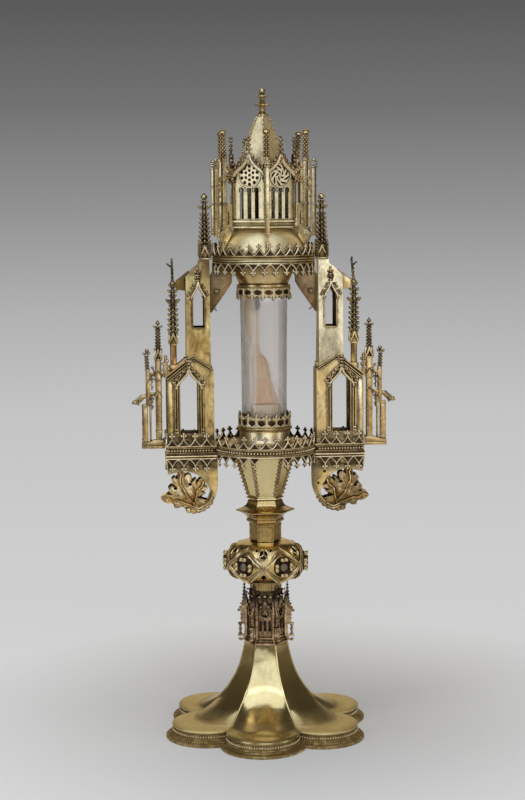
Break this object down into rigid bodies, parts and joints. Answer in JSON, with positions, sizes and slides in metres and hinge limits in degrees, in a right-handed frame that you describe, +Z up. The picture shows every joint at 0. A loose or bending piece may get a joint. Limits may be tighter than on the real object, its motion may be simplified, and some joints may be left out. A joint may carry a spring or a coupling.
{
  "type": "reliquary monstrance",
  "caption": "Standing metal monstrance: lobed foot, knopped stem, upright glass cylinder for a relic between pierced towers, under a domed, spired lid.",
  "frame": {"origin": "centre of the foot's underside, on the surface it stands on", "axes": "+Z up along the stem, the two towers on the X axis, front towards -Y"},
  "size_m": [0.2132, 0.173, 0.52],
  "materials": {
    "gilt": "aged silver-gilt, satin, olive-brown in the hollows",
    "pale_gilt": "aged silver-gilt, rubbed pale on the high places",
    "dark_gilt": "aged silver-gilt with dark brown patina in fine relief",
    "copper": "dull coppery brown sheet",
    "glass": "clear glass, slightly grey"
  },
  "bodies": {
    "root": {"foot": "gilt", "stem_lower": "gilt", "stem_upper": "gilt", "knop": "gilt", "collar": "gilt", "bowl": "gilt", "gallery": "gilt", "lower_mount": "gilt", "upper_mount": "gilt", "upper_ring": "gilt", "lid_rim": "gilt", "finial": "gilt", "tower_lower_right": "gilt", "tower_upper_right": "gilt", "tower_bracket_right": "gilt", "outer_pillars_right": "gilt", "tower_lower_left": "gilt", "tower_upper_left": "gilt", "tower_bracket_left": "gilt", "outer_pillars_left": "gilt", "dome": "pale_gilt", "lantern": "pale_gilt", "spire": "pale_gilt", "flying_buttress_1": "pale_gilt", "flying_buttress_2": "pale_gilt", "flying_buttress_3": "pale_gilt", "flying_buttress_4": "pale_gilt", "flying_buttress_5": "pale_gilt", "flying_buttress_6": "pale_gilt", "knop_rosette_1": "pale_gilt", "knop_rosette_2": "pale_gilt", "knop_rosette_3": "pale_gilt", "knop_rosette_4": "pale_gilt", "knop_rosette_5": "pale_gilt", "knop_rosette_6": "pale_gilt", "tower_leaf_right": "pale_gilt", "tower_leaf_left": "pale_gilt", "chapel": "dark_gilt", "chapel_buttress_1": "dark_gilt", "chapel_buttress_2": "dark_gilt", "chapel_buttress_3": "dark_gilt", "chapel_buttress_4": "dark_gilt", "chapel_buttress_5": "dark_gilt", "chapel_buttress_6": "dark_gilt", "tower_cornice_right": "dark_gilt", "tall_pinnacle_right": "dark_gilt", "top_pinnacle_right": "dark_gilt", "tower_cornice_left": "dark_gilt", "tall_pinnacle_left": "dark_gilt", "top_pinnacle_left": "dark_gilt", "gusset_right": "copper", "gusset_left": "copper", "glass_cylinder": "glass"}
  },
  "joints": []
}
